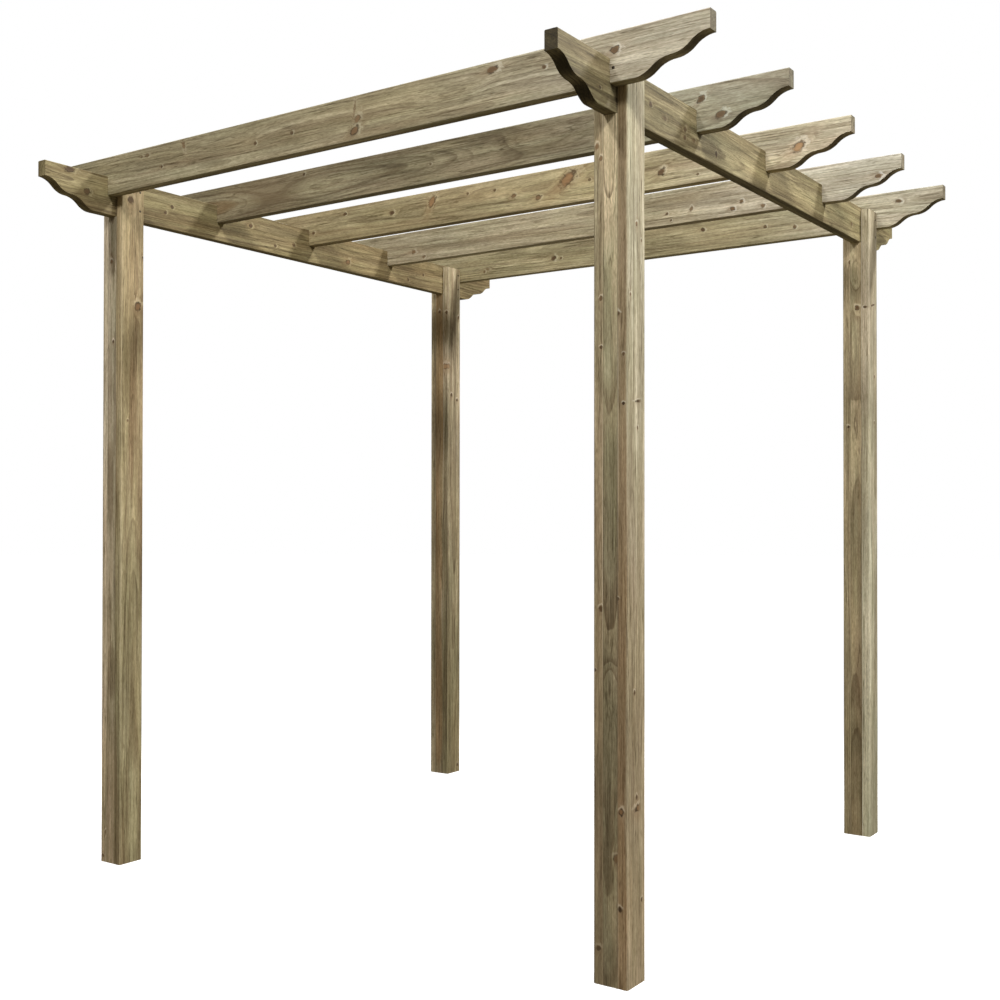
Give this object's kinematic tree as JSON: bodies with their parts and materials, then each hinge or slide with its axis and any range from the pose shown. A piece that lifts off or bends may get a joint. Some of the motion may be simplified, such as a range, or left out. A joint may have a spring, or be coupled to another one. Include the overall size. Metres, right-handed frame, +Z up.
{
  "type": "garden pergola",
  "caption": "Open flat-topped garden pergola of planed softwood: square glued posts slotted at the head for side beams, notched rafters laid across them, ogee-shaped board ends.",
  "frame": {"origin": "centre of the footprint on the floor, midway between the posts", "axes": "+X along the rafters to the right, +Y along the beams to the back, +Z up"},
  "size_m": [2.3, 2.4, 2.22],
  "materials": {
    "post_timber": "planed pressure-treated softwood, matt",
    "post_core_timber": "planed pressure-treated softwood, matt, greener than the layers glued to it",
    "beam_timber": "planed pressure-treated softwood, matt",
    "rafter_timber": "planed pressure-treated softwood, matt"
  },
  "bodies": {
    "root": {"post_front_left_outer": "post_timber", "post_front_left_core": "post_core_timber", "post_front_left_inner": "post_timber", "post_front_right_outer": "post_timber", "post_front_right_core": "post_core_timber", "post_front_right_inner": "post_timber", "post_back_left_outer": "post_timber", "post_back_left_core": "post_core_timber", "post_back_left_inner": "post_timber", "post_back_right_outer": "post_timber", "post_back_right_core": "post_core_timber", "post_back_right_inner": "post_timber", "beam_left": "beam_timber", "beam_right": "beam_timber", "rafter_1": "rafter_timber", "rafter_2": "rafter_timber", "rafter_3": "rafter_timber", "rafter_4": "rafter_timber", "rafter_5": "rafter_timber"}
  },
  "joints": []
}
